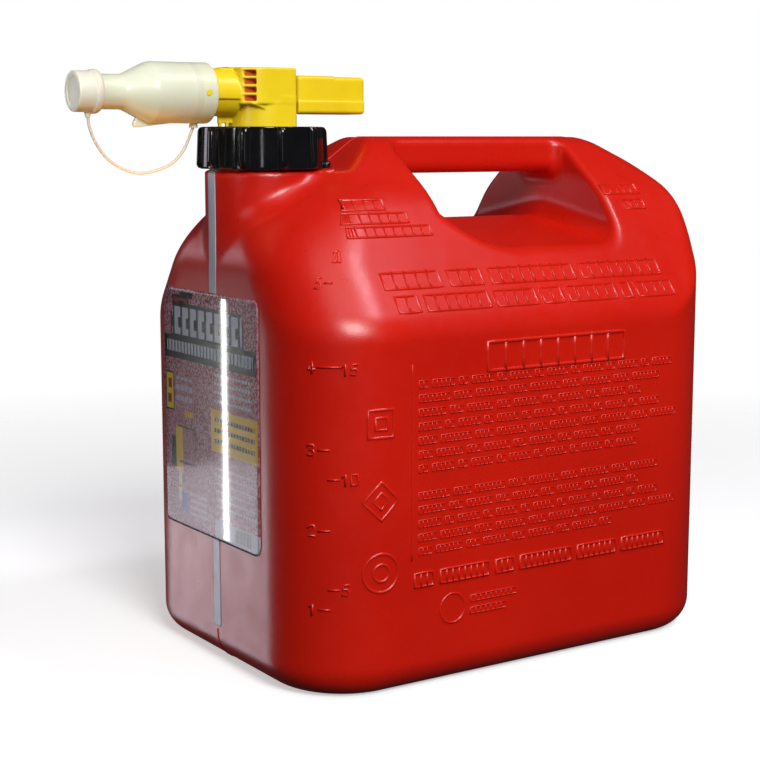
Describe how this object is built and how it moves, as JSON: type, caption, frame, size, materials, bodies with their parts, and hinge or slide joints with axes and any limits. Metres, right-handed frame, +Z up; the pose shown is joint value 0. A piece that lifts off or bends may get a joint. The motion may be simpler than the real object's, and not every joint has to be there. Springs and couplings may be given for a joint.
{
  "type": "moulded fuel can with push-button nozzle",
  "caption": "Hollow blow-moulded fuel can with a one-piece handle, screw collar, push-button pouring nozzle, clear spout and tethered dust cap.",
  "frame": {"origin": "centre of the base, on the ground", "axes": "+X from the spout towards the back of the can, +Y across the can, +Z up"},
  "size_m": [0.428, 0.242, 0.3877],
  "materials": {
    "red_tank": "satin red polyethylene",
    "clear_stripe": "milky see-through polyethylene",
    "label": "printed foil sheet",
    "black_rubber": "matt rubber",
    "yellow_plastic": "satin yellow moulding",
    "black_collar": "gloss black moulding",
    "brown_plug": "dark brown moulding",
    "white_plastic": "white moulding",
    "cream_spout": "see-through cream moulding",
    "steel": "bright steel"
  },
  "bodies": {
    "tank": {"tank": "red_tank", "view_stripe": "clear_stripe", "front_label": "label"},
    "nozzle": {"neck_gasket": "black_rubber", "nozzle_body": "yellow_plastic", "barrel_plug": "brown_plug", "barrel_seal": "black_rubber", "valve_seat": "white_plastic", "stem_gland": "black_rubber", "vent_tube": "cream_spout", "spout": "cream_spout", "tether_ring": "cream_spout", "cap_tether": "white_plastic", "return_spring": "steel"},
    "collar": {"collar": "black_collar"},
    "button": {"valve_stem": "steel", "poppet": "white_plastic", "poppet_seal": "black_rubber", "poppet_clip": "steel", "spring_washer": "steel", "thumb_button": "yellow_plastic"},
    "cap": {"dust_cap": "white_plastic"}
  },
  "joints": [
    {"name": "nozzle_lift", "type": "slide", "parent": "tank", "child": "nozzle", "axis": [0, 0, 1], "range_m": [0, 0.012]},
    {"name": "collar_turn", "type": "hinge", "parent": "nozzle", "child": "collar", "pos_m": [-0.131, 0, 0.335], "axis": [0, 0, 1], "range_deg": [0, 720]},
    {"name": "button_press", "type": "slide", "parent": "nozzle", "child": "button", "axis": [-1, 0, 0], "range_m": [0, 0.01], "stiffness_N_per_m": 900, "springref_m": -0.008, "deforming": ["return_spring"]},
    {"name": "cap_pull", "type": "slide", "parent": "nozzle", "child": "cap", "axis": [-1, 0, 0], "range_m": [0, 0.03]}
  ],
  "couplings": [
    {"joint": "nozzle_lift", "follows": "collar_turn", "m_per_rad": 0.00095493}
  ]
}
